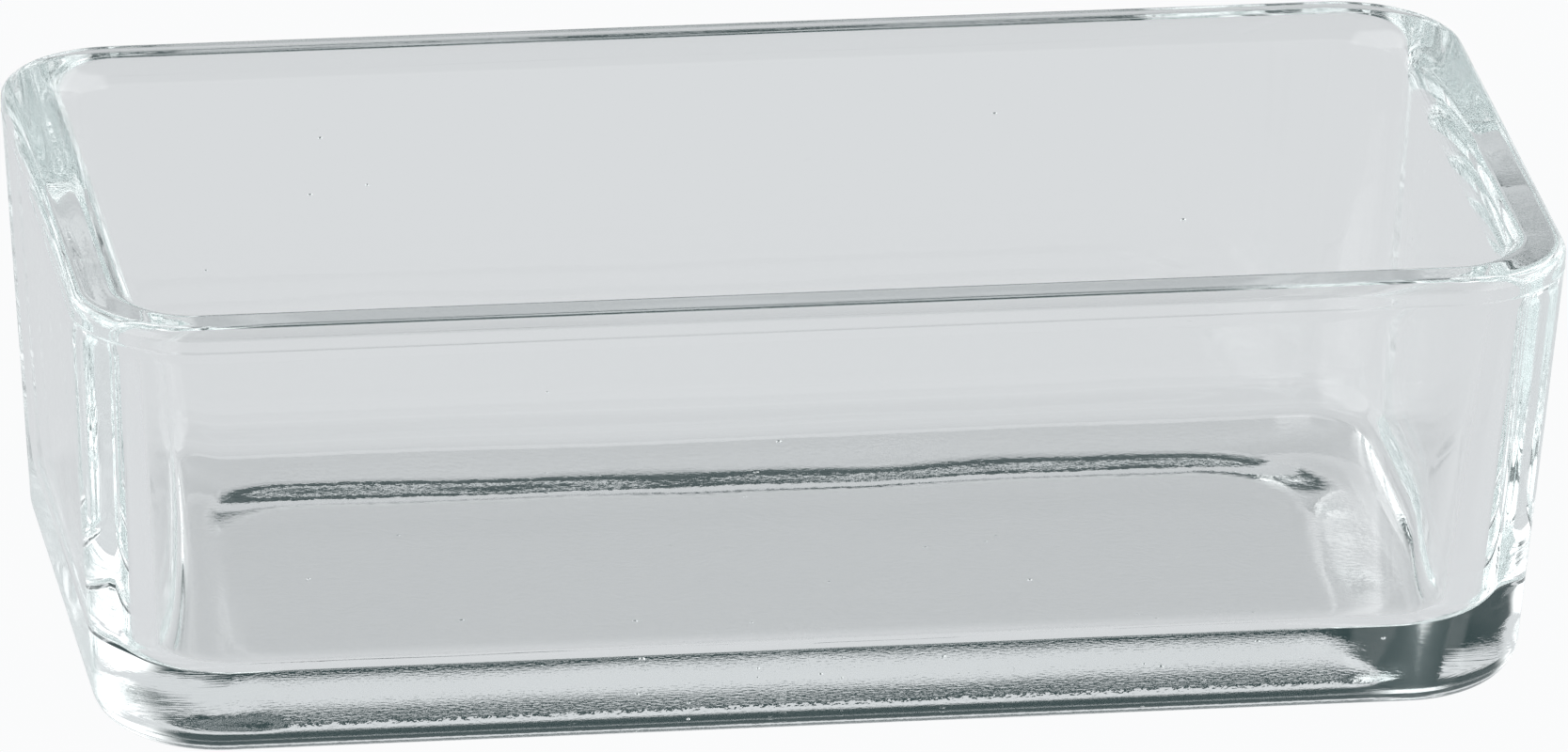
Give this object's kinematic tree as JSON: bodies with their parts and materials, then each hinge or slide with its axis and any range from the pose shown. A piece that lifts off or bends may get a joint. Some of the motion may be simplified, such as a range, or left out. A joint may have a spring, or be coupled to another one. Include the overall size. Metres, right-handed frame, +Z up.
{
  "type": "crystallizing dish",
  "caption": "Small rectangular dish of clear pressed glass, open at the top, with rounded corners, leaning walls and a thick flat base, for growing crystals or holding small samples.",
  "frame": {"origin": "middle of the underside of the base, on the surface the dish stands on", "axes": "+X along the long side, +Y along the short side, +Z up, out of the open top"},
  "size_m": [0.0998, 0.0534, 0.0315],
  "materials": {
    "clear_glass": "clear, fire-polished, with a faint aqua tint in thick sections"
  },
  "bodies": {
    "root": {"glass_dish": "clear_glass"}
  },
  "joints": []
}
